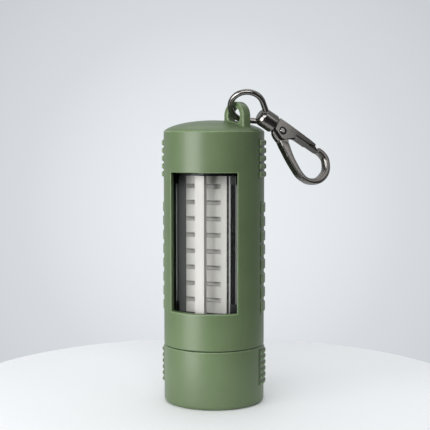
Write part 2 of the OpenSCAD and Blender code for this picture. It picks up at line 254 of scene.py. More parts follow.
def green_plastic(name, base=(0.101, 0.1473, 0.0702), rough=0.37):
    """Satin moulded plastic: fine grain, faint cloudiness; painted highlight where the edge attribute is positive,
    broken up by a wear noise, and painted shade where it is negative.
    """
    mat, nt, b, _ = nodes_of(name)
    v = coords(nt)
    cloud = noise(nt, v, 90, 4, 0.55)
    fine = noise(nt, v, 5200, 3, 0.6)
    grain = noise(nt, v, 1900, 2, 0.5)
    dark = tuple(c * 0.93 for c in base)
    light = tuple(c * 1.07 for c in base)
    col = ramp(nt, cloud, [(0.3, dark), (0.7, light)])
    col = mix(nt, maprange(nt, fine, 0.35, 0.65, 0.0, 0.10), col, tuple(min(1, c * 1.35) for c in base))
    # the edge attribute holds painted light: positive values are painted highlights on rims, edges and grips, negative
    # values painted shade in gaps and along the seam
    at = nt.nodes.new("ShaderNodeAttribute")
    at.attribute_name = "edge"
    wear_and_highlight = maprange(nt, noise(nt, v, 700, 3, 0.6), 0.35, 0.7, 0.35, 1.0)
    mul = nt.nodes.new("ShaderNodeMath")
    mul.operation = "MULTIPLY"
    nt.links.new(at.outputs["Fac"], mul.inputs[0])
    nt.links.new(wear_and_highlight, mul.inputs[1])
    # painted highlight, broken up by a wear noise
    col = mix(nt, mul.outputs[0], col, tuple(c * 1.75 + 0.02 for c in base))
    # painted shade where the edge attribute is negative
    col = mix(nt, maprange(nt, at.outputs["Fac"], -1.0, 0.0, 1.0, 0.0), col, tuple(c * 0.12 for c in base))
    nt.links.new(col, b.inputs["Base Color"])
    nt.links.new(maprange(nt, cloud, 0.3, 0.7, rough - 0.04, rough + 0.04), b.inputs["Roughness"])
    n1 = bump(nt, grain, 0.22, 0.00006)
    n2 = bump(nt, fine, 0.22, 0.00003, n1)
    nt.links.new(n2, b.inputs["Normal"])
    b.inputs["IOR"].default_value = 1.47
    return mat


def gunmetal(name, base=(0.215, 0.205, 0.196), rough=0.2):
    """Dark nickel plate over a die casting: faintly cloudy gloss, fine hairlines and a soft orange peel."""
    mat, nt, b, _ = nodes_of(name)
    v = coords(nt)
    cloud = noise(nt, v, 260, 3, 0.55)
    hair = noise(nt, coords(nt, (1, 1, 5)), 700, 2, 0.5)
    peel = noise(nt, v, 420, 1, 0.4)
    col = ramp(nt, cloud, [(0.3, tuple(c * 0.93 for c in base)), (0.7, tuple(c * 1.07 for c in base))])
    nt.links.new(col, b.inputs["Base Color"])
    nt.links.new(maprange(nt, hair, 0.3, 0.7, rough - 0.03, rough + 0.04), b.inputs["Roughness"])
    b.inputs["Metallic"].default_value = 1.0
    nt.links.new(bump(nt, peel, 0.10, 0.00004), b.inputs["Normal"])
    return mat


def clasp_axis(nt, local, shift):
    """Object coordinate along a local direction of the hook's frame, in mm from its datum."""
    tc = nt.nodes.new("ShaderNodeTexCoord")
    d = nt.nodes.new("ShaderNodeVectorMath")
    d.operation = "DOT_PRODUCT"
    v = np.array([local[0], -local[2], local[1]]) @ M_HOOK.T
    d.inputs[1].default_value = tuple(float(c) * 1000 for c in v)
    nt.links.new(tc.outputs["Object"], d.inputs[0])
    off = nt.nodes.new("ShaderNodeMath")
    off.operation = "SUBTRACT"
    off.inputs[1].default_value = float(v @ CLASP_C) + shift
    nt.links.new(d.outputs["Value"], off.inputs[0])
    return off.outputs[0]


def gate_metal(name):
    """The same plate on the gate, with painted shade darkening it towards the tip and along the bar's lower flank, and
    a painted highlight line at the bottom of that flank.
    """
    mat = gunmetal(name, base=(0.23, 0.219, 0.209), rough=0.28)
    nt = mat.node_tree
    b = next(n for n in nt.nodes if n.type == "BSDF_PRINCIPLED")
    col = b.inputs["Base Color"].links[0].from_socket
    x = clasp_axis(nt, (1, 0, 0), RIVET_S)
    y = clasp_axis(nt, (0, 1, 0), 0.0)
    # painted shade: darker towards the gate's tip
    painted_falloff = ramp(nt, maprange(nt, x, -3.5, 13.0, 0, 1), [(0.0, (1.0, 1.0, 1.0)), (0.12, (0.92, 0.92, 0.92)), (0.30, (0.78, 0.78, 0.78)), (0.5, (0.48, 0.48, 0.48)),
                                                       (0.75, (0.40, 0.40, 0.40)), (1.0, (0.36, 0.36, 0.36))])
    # painted shade on the bar's lower flank, with a painted highlight line below it
    painted_flank = ramp(nt, maprange(nt, y, -0.4, 1.6, 0, 1), [(0.0, (1.0, 1.0, 1.0)), (0.2, (1.0, 1.0, 1.0)), (0.27, (0.22, 0.22, 0.22)), (0.42, (0.22, 0.22, 0.22)), (0.52, (0.85, 0.85, 0.85)), (1.0, (0.85, 0.85, 0.85))])
    on_bar = maprange(nt, x, 3.4, 4.2, 0.0, 1.0)
    col = mix(nt, 1.0, col, painted_falloff, "MULTIPLY")
    shaded = mix(nt, 1.0, col, painted_flank, "MULTIPLY")
    nt.links.new(mix(nt, on_bar, col, shaded), b.inputs["Base Color"])
    return mat


def plain_plastic(name, base, rough, grain=2600, strength=0.15, tint=0.05, ior=1.46, spec=0.5):
    mat, nt, b, _ = nodes_of(name)
    v = coords(nt)
    cloud = noise(nt, v, 150, 4, 0.6)
    g = noise(nt, v, grain, 3, 0.55)
    col = ramp(nt, cloud, [(0.3, tuple(c * (1 - tint) for c in base)), (0.7, tuple(min(1, c * (1 + tint)) for c in base))])
    nt.links.new(col, b.inputs["Base Color"])
    nt.links.new(maprange(nt, cloud, 0.3, 0.7, rough - 0.04, rough + 0.04), b.inputs["Roughness"])
    nt.links.new(bump(nt, g, strength, 0.00005), b.inputs["Normal"])
    b.inputs["IOR"].default_value = ior
    b.inputs["Specular IOR Level"].default_value = spec
    return mat


def metal(name, base, rough, hair=(1, 1, 12)):
    mat, nt, b, _ = nodes_of(name)
    h = noise(nt, coords(nt, hair), 2400, 3, 0.6)
    col = ramp(nt, h, [(0.3, tuple(c * 0.88 for c in base)), (0.7, tuple(min(1, c * 1.1) for c in base))])
    nt.links.new(col, b.inputs["Base Color"])
    nt.links.new(maprange(nt, h, 0.3, 0.7, rough - 0.06, rough + 0.08), b.inputs["Roughness"])
    b.inputs["Metallic"].default_value = 1.0
    nt.links.new(bump(nt, h, 0.08, 0.00003), b.inputs["Normal"])
    return mat


def clear_plastic(name):
    """Clear moulded tube: see-through straight on, glossy at the edges, with faint wipe marks."""
    mat, nt, b, out = nodes_of(name)
    nt.nodes.remove(b)
    tr = nt.nodes.new("ShaderNodeBsdfTransparent")
    gl = nt.nodes.new("ShaderNodeBsdfGlossy")
    sh = nt.nodes.new("ShaderNodeMixShader")
    lw = nt.nodes.new("ShaderNodeLayerWeight")
    lw.inputs["Blend"].default_value = 0.5
    tr.inputs["Color"].default_value = (0.965, 0.972, 0.97, 1)
    v = coords(nt)
    wipe = noise(nt, coords(nt, (1, 1, 0.15)), 500, 3, 0.6)
    nt.links.new(maprange(nt, wipe, 0.3, 0.75, 0.03, 0.09), gl.inputs["Roughness"])
    gl.inputs["Color"].default_value = (0.95, 0.97, 0.98, 1)
    pw = nt.nodes.new("ShaderNodeMath")
    pw.operation = "POWER"
    pw.inputs[1].default_value = 5.0
    nt.links.new(lw.outputs["Facing"], pw.inputs[0])
    nt.links.new(maprange(nt, pw.outputs[0], 0.0, 1.0, 0.004, 0.6), sh.inputs["Fac"])
    nt.links.new(tr.outputs[0], sh.inputs[1])
    nt.links.new(gl.outputs[0], sh.inputs[2])
    nt.links.new(sh.outputs[0], out.inputs[0])
    return mat


GREEN = green_plastic("green_shell")
GREEN_CAP = green_plastic("green_cap")
GUN = gunmetal("gunmetal")
GUN_HOOK = gunmetal("gunmetal_hook", base=(0.225, 0.214, 0.205), rough=0.27)
GUN_GATE = gate_metal("gunmetal_gate")
# near-black plate for the rivet seats: painted shadow
SEAT_SHADOW = gunmetal("painted_seat_shadow", base=(0.02, 0.019, 0.018), rough=0.5)
RIVET = gunmetal("rivet_metal", base=(0.42, 0.41, 0.40), rough=0.14)
BLACK = plain_plastic("block_black", (0.010, 0.010, 0.010), 0.42, spec=0.15)
RUBBER = plain_plastic("rubber_black", (0.016, 0.016, 0.016), 0.7, 3200, 0.35)
LINER = plain_plastic("magnet_sheet", (0.022, 0.022, 0.021), 0.62, 3800, 0.3)
RACK_TURN = math.radians(-7.5)


def rack_axis(nt, sx, sy):
    """Object coordinate along a direction of the rack's own frame, in mm."""
    tc = nt.nodes.new("ShaderNodeTexCoord")
    d = nt.nodes.new("ShaderNodeVectorMath")
    d.operation = "DOT_PRODUCT"
    c, s_ = math.cos(RACK_TURN), math.sin(RACK_TURN)
    d.inputs[1].default_value = ((sx * c - sy * s_) * 1000, (sx * s_ + sy * c) * 1000, 0)
    nt.links.new(tc.outputs["Object"], d.inputs[0])
    return d.outputs["Value"]


def height(nt):
    tc = nt.nodes.new("ShaderNodeTexCoord")
    sp = nt.nodes.new("ShaderNodeSeparateXYZ")
    nt.links.new(tc.outputs["Object"], sp.inputs[0])
    m = nt.nodes.new("ShaderNodeMath")
    m.operation = "MULTIPLY"
    m.inputs[1].default_value = 1000
    nt.links.new(sp.outputs["Z"], m.inputs[0])
    return m.outputs[0]


def panel_plastic(name, base):
    """Pale grey foam-faced panel: fine grain; painted shade darkens it towards both sides and towards its top under the
    window's upper edge, and the slots carry painted shade that grows with depth, most under their upper lip.
    """
    mat, nt, b, _ = nodes_of(name)
    v = coords(nt)
    cloud = noise(nt, v, 150, 4, 0.6)
    g = noise(nt, v, 2600, 3, 0.55)
    col = ramp(nt, cloud, [(0.3, tuple(c * 0.96 for c in base)), (0.7, tuple(min(1, c * 1.04) for c in base))])
    # painted shade: darker towards both sides of the panel
    painted_side_shade = ramp(nt, maprange(nt, rack_axis(nt, 1, 0), -7.0, 7.0, 0, 1),
               [(0.0, (0.69, 0.69, 0.69)), (0.14, (0.71, 0.71, 0.71)), (0.28, (0.76, 0.76, 0.76)), (0.42, (0.84, 0.84, 0.84)), (0.55, (1.0, 1.0, 1.0)),
                (0.68, (1.0, 1.0, 1.0)), (0.82, (0.74, 0.74, 0.74)), (1.0, (0.69, 0.69, 0.69))])
    col = mix(nt, 1.0, col, painted_side_shade, "MULTIPLY")
    # painted shade under the window's upper edge: darker towards the top
    tz = nt.nodes.new("ShaderNodeTexCoord")
    sz = nt.nodes.new("ShaderNodeSeparateXYZ")
    nt.links.new(tz.outputs["Object"], sz.inputs[0])
    top = ramp(nt, maprange(nt, sz.outputs[2], 0.058, 0.069, 0, 1), [(0.0, (1.0, 1.0, 1.0)), (0.5, (0.92, 0.92, 0.92)), (0.85, (0.68, 0.68, 0.68)), (1.0, (0.62, 0.62, 0.62))])
    col = mix(nt, 1.0, col, top, "MULTIPLY")
    y = rack_axis(nt, 0, 1)
    z = height(nt)
    # 0 at the panel's face, 1 at 1.5 mm behind it
    deep = maprange(nt, y, -5.66, -4.2, 0.0, 1.0)
    ph = nt.nodes.new("ShaderNodeMath")
    ph.operation = "WRAP"
    ph.inputs[1].default_value = 4.815
    ph.inputs[2].default_value = 0.0
    off = nt.nodes.new("ShaderNodeMath")
    off.operation = "SUBTRACT"
    off.inputs[1].default_value = 64.85 - 4.815 * 7 - 2.4
    nt.links.new(z, off.inputs[0])
    nt.links.new(off.outputs[0], ph.inputs[0])
    # painted shade in the slots, darkest under their upper lip and in the deepest part
    lip = ramp(nt, maprange(nt, ph.outputs[0], 2.4 - 0.67, 2.4 + 0.67, 0, 1),
               [(0.0, (0.40, 0.40, 0.41)), (0.2, (0.66, 0.66, 0.66)), (0.5, (0.58, 0.58, 0.58)), (0.72, (0.30, 0.30, 0.30)), (1.0, (0.18, 0.18, 0.19))])
    shade = mix(nt, ramp(nt, deep, [(0.0, (0, 0, 0)), (0.06, (0.35, 0.35, 0.35)), (0.5, (0.8, 0.8, 0.8)), (1.0, (1, 1, 1))]), (1.0, 1.0, 1.0), lip)
    col = mix(nt, 1.0, col, shade, "MULTIPLY")
    nt.links.new(col, b.inputs["Base Color"])
    nt.links.new(maprange(nt, cloud, 0.3, 0.7, 0.46, 0.54), b.inputs["Roughness"])
    nt.links.new(bump(nt, g, 0.15, 0.00005), b.inputs["Normal"])
    return mat


def bar_plastic(name):
    """Black gloss bars, with painted highlights on the right bar's chamfers and along the left bar's outer edge, a band
    of painted shade beside that edge, and the left bar's front painted paler as painted reflection.
    """
    mat, nt, b, _ = nodes_of(name)
    v = coords(nt)
    x = rack_axis(nt, 1, 0)
    y = rack_axis(nt, 0, 1)
    wear = noise(nt, coords(nt, (1, 1, 0.2)), 900, 3, 0.6)

    def px(v):
        return (v + 10.5) / 21.0

    # painted light across the bars: the pale strip at the left bar's outer edge is a painted highlight, the dark band
    # beside it painted shade, the left bar's paler front a painted reflection, the right bar's chamfers painted
    # highlights; only the right bar's black front is the bars' own colour
    edge, painted_lit_front, shade, chamfer_highlight, gloss, far = [(c, c, c * 1.02) for c in (0.95, 0.15, 0.08, 0.34, 0.003, 0.42)]
    stops = [(-10.4, edge), (-9.66, edge), (-9.58, shade), (-9.1, shade), (-8.9, painted_lit_front), (0.0, painted_lit_front), (1.0, chamfer_highlight), (7.33, chamfer_highlight),
             (7.38, gloss), (8.87, gloss), (8.92, far), (10.4, far)]
    col = ramp(nt, maprange(nt, x, -10.5, 10.5, 0, 1), [(px(v), c) for v, c in stops])
    nt.links.new(mix(nt, maprange(nt, wear, 0.35, 0.7, 0.0, 0.03), col, (0.08, 0.08, 0.08)), b.inputs["Base Color"])
    nt.links.new(maprange(nt, noise(nt, v, 400, 3, 0.5), 0.3, 0.7, 0.24, 0.34), b.inputs["Roughness"])
    nt.links.new(bump(nt, noise(nt, v, 1800, 2, 0.5), 0.06, 0.00004), b.inputs["Normal"])
    b.inputs["Specular IOR Level"].default_value = 0.03
    return mat


PANEL = panel_plastic("panel_grey", (0.75, 0.722, 0.684))
BARS = bar_plastic("bar_black")
WHITE = plain_plastic("rail_white", (0.56, 0.535, 0.51), 0.5, tint=0.02, spec=0.2)
MAGNET = metal("magnet_plated", (0.55, 0.55, 0.57), 0.25)
SCREW = metal("screw_zinc", (0.5, 0.5, 0.5), 0.3)
SPRING = metal("spring_wire", (0.42, 0.42, 0.42), 0.28)
CLEAR = clear_plastic("clear_tube_plastic")


# ------------------------------------------------------------------ shell
def theta_grid():
    """Columns round the case, in degrees from -Y towards +X, dense at the side grips and aligned with the window's edges."""
    t0 = math.degrees(math.asin((WIN_X0 - 0.28) / R))
    t1 = math.degrees(math.asin((WIN_X1 + 0.28) / R))

    def half(te):
        return np.concatenate([np.linspace(0, te, 22)[1:], np.linspace(te, 68, 18)[1:], np.linspace(68, 112, 111)[1:], np.linspace(112, 180, 26)[1:]])

    return np.concatenate([-half(-t0)[::-1][1:], [0.0], half(t1)]), t0, t1  # from -180 (left out) to +180


def z_rows(lo, hi, step, keep=()):
    n = max(2, int(round((hi - lo) / step)) + 1)
    zs = np.linspace(lo, hi, n)
    for k in keep:
        zs[np.argmin(np.abs(zs - k))] = k
    return zs


def grips_shell(th, z):
    """Raised grips at angle th (deg from -Y) and height z: (height in mm, painted highlight on their rims, painted
    shade in the gaps).
    """
    a = np.abs(th)
    h = np.zeros(np.broadcast(th, z).shape)
    rim, gap_shade = h.copy(), h.copy()

    def add(dx, dz, wx, wz, soft, out):
        nonlocal h, rim, gap_shade
        f = soft_box(dx, wx, soft) * soft_box(dz, wz, soft)
        h = np.maximum(h, out * f)
        # painted highlight on each grip's rim, painted shade in the gaps just outside it
        rim = np.maximum(rim, 4 * f * (1 - f) * (f > 0.02))
        near = soft_box(dx, wx + 0.45, 0.35) * soft_box(dz, wz + 0.35, 0.35)
        gap_shade = np.maximum(gap_shade, near * (1 - smoothstep(f / 0.35)))

    for i in range(5):
        for c in (82, 98):
            add((a - c) * R * math.pi / 180, z - (77.58 - 2.33 * i), 1.78, 0.95, 0.42, 0.58)
    for i in range(8):
        add((a - 90) * R * math.pi / 180, z - (58.43 - 4.22 * i), 2.6, 1.68, 0.4, 0.38)
    return h, rim, gap_shade


def build_shell():
    th, t0, t1 = theta_grid()
    n = len(th)
    e = 0.28
    z0 = CAP_H + SEAM
    tr = np.radians(th)
    # outer profile rows: (r, z), bottom rounding, wall, dome
    prof = [(BORE + 0.12, z0, 0), (R - 0.75, z0, 0)]
    for k in range(5):
        a = math.radians(-90 + 22.5 * k)
        # painted shade along the seam on the bottom rounding's lower rows
        prof.append((R - 0.3 + 0.3 * math.cos(a), z0 + 0.3 + 0.3 * math.sin(a), -1.8 if k < 3 else (-0.9 if k == 3 else 0.0)))
    zs = z_rows(z0 + 0.3, RIM - 0.1, 0.2, (WIN_LO - e, WIN_HI + e))[1:]
    for z in zs:
        prof.append((R, z, 0))
    first_wall = 7
    rr = [R * math.cos(math.radians(a)) for a in (2, 4, 6, 8, 10, 12, 15, 19, 24, 30, 37, 45, 54, 63, 72, 80, 86, 89)]
    # painted highlight along the rim and the dome's edge
    prof.append((R - 0.002, RIM + 0.02, 0.9))
    for r in rr:
        prof.append((r, RIM + float(dome(np.array(r))), 1.8 if r > 14.86 else (0.7 if r > 14.7 else 0.0)))
    m = len(prof)
    V = np.zeros((m, n, 3))
    A = np.zeros((m, n))
    for i, (r, z, painted_light) in enumerate(prof):
        rad = np.full(n, float(r))
        if first_wall <= i < first_wall + len(zs):
            g, rim, gap_shade = grips_shell(th, z)
            rad = rad + g
            # painted highlight on the grips, painted shade in their gaps
            A[i] = rim * 0.95 + np.clip(g / 0.5, 0, 1) * 0.2 - gap_shade * 1.0
        V[i] = np.stack([rad * np.sin(tr), -rad * np.cos(tr), np.full(n, z)], 1)
        A[i] = np.where(painted_light != 0, painted_light * 0.55, A[i])
    iz_lo = first_wall + int(np.argmin(np.abs(zs - (WIN_LO - e))))
    iz_hi = first_wall + int(np.argmin(np.abs(zs - (WIN_HI + e))))
    j_lo = int(np.argmin(np.abs(th - t0)))
    j_hi = int(np.argmin(np.abs(th - t1)))
    faces = grid_faces(m, n, closed_cols=True, skip=lambda i, j: iz_lo <= i < iz_hi and j_lo <= j < j_hi)
    verts = [V.reshape(-1, 3)]
    attrs = [A.reshape(-1)]
    base = m * n
    # centre of the dome
    verts.append(np.array([[0, 0, RIM + DOME_H]]))
    attrs.append(np.zeros(1))
    for j in range(n):
        faces.append(((m - 1) * n + j, (m - 1) * n + (j + 1) % n, base))
    base += 1
    # reveal of the window: boundary loop of the hole, walked round
    loop = [(iz_lo, j) for j in range(j_lo, j_hi)] + [(i, j_hi) for i in range(iz_lo, iz_hi)]
    loop += [(iz_hi, j) for j in range(j_hi, j_lo, -1)] + [(i, j_lo) for i in range(iz_hi, iz_lo, -1)]
    rows = []
    ra = []
    steps = [math.radians(a) for a in (0, 15, 30, 45, 60, 75, 90)]
    for (i, j) in loop:
        x0, z_ = V[i, j, 0], V[i, j, 2]
        dx = 1 if j == j_hi else (-1 if j == j_lo else 0)
        dz = 1 if i == iz_hi else (-1 if i == iz_lo else 0)
        col, ca = [], []
        for a in steps:
            x = x0 - dx * e * math.sin(a)
            z = z_ - dz * e * math.sin(a)
            y = -math.sqrt(R * R - x * x) + e * (1 - math.cos(a))
            col.append((x, y, z))
            # painted highlight on the rounded window edge
            ca.append(0.95 if 10 < math.degrees(a) < 80 else 0.25)
        x, y, z = col[-1]
        x = np.clip(x, WIN_X0, WIN_X1)
        yi = -math.sqrt(BORE ** 2 - x * x)
        for t in (0.15, 0.5, 0.85, 1.0):
            col.append((x, y + (yi - y) * t, z))
            ca.append(0.0)
        rows.append(col)
        ra.append(ca)
    S = np.array(rows)  # loop x steps
    L, K = S.shape[:2]
    verts.append(S.reshape(-1, 3))
    attrs.append(np.array(ra).reshape(-1))
    for a in range(L):
        for k in range(K - 1):
            a2 = (a + 1) % L
            faces.append((base + a * K + k, base + a2 * K + k, base + a2 * K + k + 1, base + a * K + k + 1))
    base += L * K
    # bore and ceiling, its columns matched to the window's edge
    i0, i1 = (math.degrees(math.asin(v / BORE)) for v in (WIN_X0, WIN_X1))
    th_in = np.where(th > t1, i1 + (th - t1) * (180 - i1) / (180 - t1), i0 + (th - t0) * (180 + i0) / (180 + t0))
    th_in = np.where((th >= t0 - 1e-9) & (th <= t1 + 1e-9), np.degrees(np.arcsin(np.clip(np.sin(tr) * R, WIN_X0, WIN_X1) / BORE)), th_in)
    ri = np.radians(th_in)
    # rows share the outer rows' heights inside the window so that the reveal meets them
    zin = [z0 + 0.12] + list(zs[::6]) + [WIN_LO, WIN_HI]
    zin += [float(V[i, 0, 2]) for i in range(iz_lo + 1, iz_hi)]
    zin = sorted(set(round(z, 6) for z in zin if z < 78.0 and not (WIN_LO - e - 1e-6 <= z < WIN_LO - 1e-9) and not (WIN_HI + 1e-9 < z <= WIN_HI + e + 1e-6)))
    inner = [(BORE, z) for z in zin] + [(BORE, 78.0), (BORE - 0.3, 78.0), (9.0, 78.0), (4.0, 78.0)]
    mi = len(inner)
    W = np.zeros((mi, n, 3))
    for i, (r, z) in enumerate(inner):
        W[i] = np.stack([r * np.sin(ri), -r * np.cos(ri), np.full(n, z)], 1)
    lo_i = next(i for i, (r, z) in enumerate(inner) if abs(z - WIN_LO) < 1e-5)
    hi_i = next(i for i, (r, z) in enumerate(inner) if abs(z - WIN_HI) < 1e-5)
    verts.append(W.reshape(-1, 3))
    attrs.append(np.zeros(mi * n))
    faces += grid_faces(mi, n, closed_cols=True, base=base, skip=lambda i, j: lo_i <= i < hi_i and j_lo <= j < j_hi)
    top_c = base + mi * n
    verts.append(np.array([[0, 0, 78.0]]))
    attrs.append(np.zeros(1))
    for j in range(n):
        faces.append((base + (mi - 1) * n + j, base + (mi - 1) * n + (j + 1) % n, top_c))
    # bottom ring joins the bore's first row to the outer profile's first row
    for j in range(n):
        j2 = (j + 1) % n
        faces.append((j, j2, base + j2, base + j))
    ob = new_object("shell_body", np.concatenate(verts), faces, "shell", ("outer_shell",), GREEN,
                    np.concatenate(attrs), merge=0.004)
    return ob


def build_lug():
    """Plate with a round top, rounded edges, and a hole with a rounded rim; its foot blends into the dome."""
    c, s = math.cos(LUG_TURN), math.sin(LUG_TURN)
    ax_n = np.array([c, s, 0])            # across the plate
    ax_t = np.array([-s, c, 0])           # along the plate
    up = np.array([0, 0, 1.0])
    hw, ht = LUG_W / 2, LUG_T / 2
    er = 0.42
    base_z = RIM - 0.6 - LUG[2]

    def outline(inset, n_arc=40, n_side=10):
        r = hw - inset
        pts = [(r * math.cos(a), r * math.sin(a)) for a in np.linspace(0, math.pi, n_arc)]
        left = [(-r, z) for z in np.linspace(0, base_z, n_side)[1:]]
        right = [(r, z) for z in np.linspace(base_z, 0, n_side)[:-1]]
        return np.array(pts + left + right)

    rings = []
    at = []
    hr = 0.5

    def hole(rad, count):
        # matched to the outline's samples by angle
        o = outline(0)
        ang = np.arctan2(o[:, 1], o[:, 0])
        return np.stack([rad * np.cos(ang), rad * np.sin(ang)], 1)

    seq = []
    # from the hole's middle, out over the front rim, over the front face, round the edge, back to the hole
    for sgn in (1, -1):
        part = []
        part.append((hole(LUG_HOLE, 0), 0.0, 0.0))
        part.append((hole(LUG_HOLE, 0), sgn * (ht - hr), 0.0))
        # painted highlight on the hole's rounded rim
        for a in (15, 30, 45, 60, 75, 90):
            r_ = math.radians(a)
            part.append((hole(LUG_HOLE + hr - hr * math.cos(r_), 0), sgn * (ht - hr + hr * math.sin(r_)), 0.9 if 20 < a < 80 else 0.3))
        h1 = hole(LUG_HOLE + hr, 0)
        o1 = outline(er)
        for t in (0.33, 0.66, 1.0):
            part.append((h1 + (o1 - h1) * t, sgn * ht, 0.0))
        # painted highlight on the plate's rounded edges
        for a in (18, 36, 54, 72, 90):
            r_ = math.radians(a)
            part.append((outline(er - er * math.sin(r_)), sgn * (ht - er + er * math.cos(r_)), 0.75 if 20 < a < 80 else 0.2))
        if sgn == -1:
            part = part[::-1][1:] if False else part[::-1]
        seq += part
    V, A = [], []
    for pts, w, painted_light in seq:
        V.append(LUG + pts[:, :1] * ax_t + pts[:, 1:] * up + w * ax_n)
        A.append(np.full(len(pts), painted_light))
    V = np.array(V)
    m, n = V.shape[:2]
    faces = grid_faces(m, n, closed_cols=True)
    verts, attrs = [V.reshape(-1, 3)], [np.array(A).reshape(-1)]
    base = m * n
    # concave foot round the plate
    fr = 0.3
    per = []
    cr = er
    cx, cy = hw - cr, ht - cr
    for qx, qy, a0 in ((1, 1, 0), (-1, 1, 90), (-1, -1, 180), (1, -1, 270)):
        for a in np.linspace(a0, a0 + 90, 7):
            r_ = math.radians(a)
            per.append((qx * cx + cr * math.cos(r_), qy * cy + cr * math.sin(r_), math.cos(r_), math.sin(r_)))
        # straight run to the next corner
    dense = []
    for k in range(len(per)):
        p, q = np.array(per[k]), np.array(per[(k + 1) % len(per)])
        steps = max(1, int(np.linalg.norm(q[:2] - p[:2]) / 0.4))
        for t in range(steps):
            dense.append(p + (q - p) * t / steps)
    dense = np.array(dense)
    F = []
    for a in (-1, 0, 15, 30, 45, 60, 75, 90, 91):
        if a == -1:
            d, h = -0.5, fr + 0.0
        elif a == 91:
            d, h = fr * 1.02, -0.6
        else:
            d, h = fr * (1 - math.cos(math.radians(a))) - 0.01, fr * (1 - math.sin(math.radians(a)))
        P = LUG[None, :2] + (dense[:, :1] + dense[:, 2:3] * d) * ax_t[None, :2] + (dense[:, 1:2] + dense[:, 3:4] * d) * ax_n[None, :2]
        r = np.hypot(P[:, 0], P[:, 1])
        k = np.minimum(1, 14.9 / np.maximum(r, 1e-6))
        P = P * k[:, None]
        z = RIM + dome(np.hypot(P[:, 0], P[:, 1])) + h + (0.0 if a != 90 else -0.015)
        F.append(np.concatenate([P, z[:, None]], 1))
    F = np.array(F)
    fm, fn = F.shape[:2]
    verts.append(F.reshape(-1, 3))
    attrs.append(np.zeros(fm * fn))
    faces += grid_faces(fm, fn, closed_rows=True, closed_cols=True, base=base)
    ob = new_object("lug", np.concatenate(verts), faces, "shell", (), GREEN, np.concatenate(attrs), merge=0.003)
    return ob


# ------------------------------------------------------------------ base cap
def grips_cap(th, z):
    """The same for the base: a low strip with small studs, painted highlight on the stud tops and painted shade on the
    strip between them.
    """
    a = np.abs(th)
    strip = 0.20 * soft_box((a - 90) * R * math.pi / 180, 4.05, 0.35) * soft_box(z - 11.2, 5.6, 0.35)
    h = strip
    # painted shade over the strip, taken off again on the studs
    rim, gap_shade = np.zeros(h.shape), np.clip(strip / 0.2, 0, 1) * 0.75
    for i in range(6):
        for j in range(-2, 3):
            f = soft_box((a - 90 - 5.6 * j) * R * math.pi / 180, 0.52, 0.3) * soft_box(z - (6.2 + 1.84 * i), 0.65, 0.32)
            h = np.maximum(h, strip + 0.38 * f)
            rim = np.maximum(rim, f)
            gap_shade = gap_shade * (1 - smoothstep(f / 0.5))
    return h, rim, gap_shade


def build_cap():
    half = np.concatenate([np.linspace(0, 72, 31), np.linspace(72, 108, 121)[1:], np.linspace(108, 180, 31)[1:]])
    th = np.concatenate([-half[::-1][:-1], half])[1:]
    tr = np.radians(th)
    n = len(th)
    fr = 1.3
    prof = [(4.0, 0.0, 0), (9.0, 0.0, 0), (12.3, 0.0, 0), (R - fr, 0.0, 0)]
    for a in np.linspace(-90, 0, 9)[1:]:
        r_ = math.radians(a)
        prof.append((R - fr + fr * math.cos(r_), fr + fr * math.sin(r_), 0))
    zs = z_rows(fr + 0.1, CAP_H - 0.3, 0.2)
    first = len(prof)
    for z in zs:
        prof.append((R, z, 0))
    # painted highlight along the cap's top rounding, just below the seam
    for a in (22.5, 45, 67.5, 90):
        r_ = math.radians(a)
        prof.append((R - 0.3 + 0.3 * math.cos(r_), CAP_H - 0.3 + 0.3 * math.sin(r_), 1.8 if a < 80 else 0.6))
    prof += [(14.2, CAP_H, 0), (13.12, CAP_H, 0), (13.0, CAP_H + 0.12, 0), (13.0, 20.2, 0), (11.9, 20.2, 0), (11.9, 21.8, 0), (13.0, 21.8, 0),
             (13.0, 24.3, 0), (12.93, 24.45, 0), (12.8, 24.55, 0), (12.6, 24.6, 0), (11.05, 24.6, 0), (11.0, 24.5, 0), (11.0, 2.4, 0), (4.0, 2.4, 0)]
    m = len(prof)
    V = np.zeros((m, n, 3))
    A = np.zeros((m, n))
    for i, (r, z, painted_light) in enumerate(prof):
        rad = np.full(n, float(r))
        A[i] = painted_light * 0.5
        if first <= i < first + len(zs):
            g, rim, gap_shade = grips_cap(th, z)
            rad = rad + g
            # painted highlight on the stud tops, painted shade between them
            A[i] = rim * 0.8 - gap_shade * 0.95
        V[i] = np.stack([rad * np.sin(tr), -rad * np.cos(tr), np.full(n, z)], 1)
    verts = [V.reshape(-1, 3), np.array([[0, 0, 0.0], [0, 0, 2.4]])]
    faces = grid_faces(m, n, closed_cols=True)
    b = m * n
    for j in range(n):
        faces.append((j, (j + 1) % n, b))
        faces.append(((m - 1) * n + j, (m - 1) * n + (j + 1) % n, b + 1))
    attrs = np.concatenate([A.reshape(-1), [0, 0]])
    ob = new_object("cap_body", np.concatenate(verts), faces, "base", ("base_cap",), GREEN_CAP, attrs)
    # screw posts inside
    a = math.radians(-7.5)
    for k, sx in enumerate((-1, 1)):
        c = np.array([6.4 * sx * math.cos(a), 6.4 * sx * math.sin(a)])
        pr = [(0.9, 12.5), (0.9, 20.6), (1.1, 20.9), (2.1, 20.9), (2.3, 20.7), (2.3, 3.0), (2.6, 2.5), (3.0, 2.35), (0.9, 2.35)]
        t = np.linspace(0, 2 * math.pi, 33)[:-1]
        P = np.array([[(c[0] + r * math.cos(q), c[1] + r * math.sin(q), z) for q in t] for r, z in pr])
        f = grid_faces(len(pr), 32, closed_rows=True, closed_cols=True)
        new_object("cap_post_%d" % (k + 1), P.reshape(-1, 3), f, "base", (), GREEN_CAP, np.zeros(P.shape[0] * 32))
    return ob


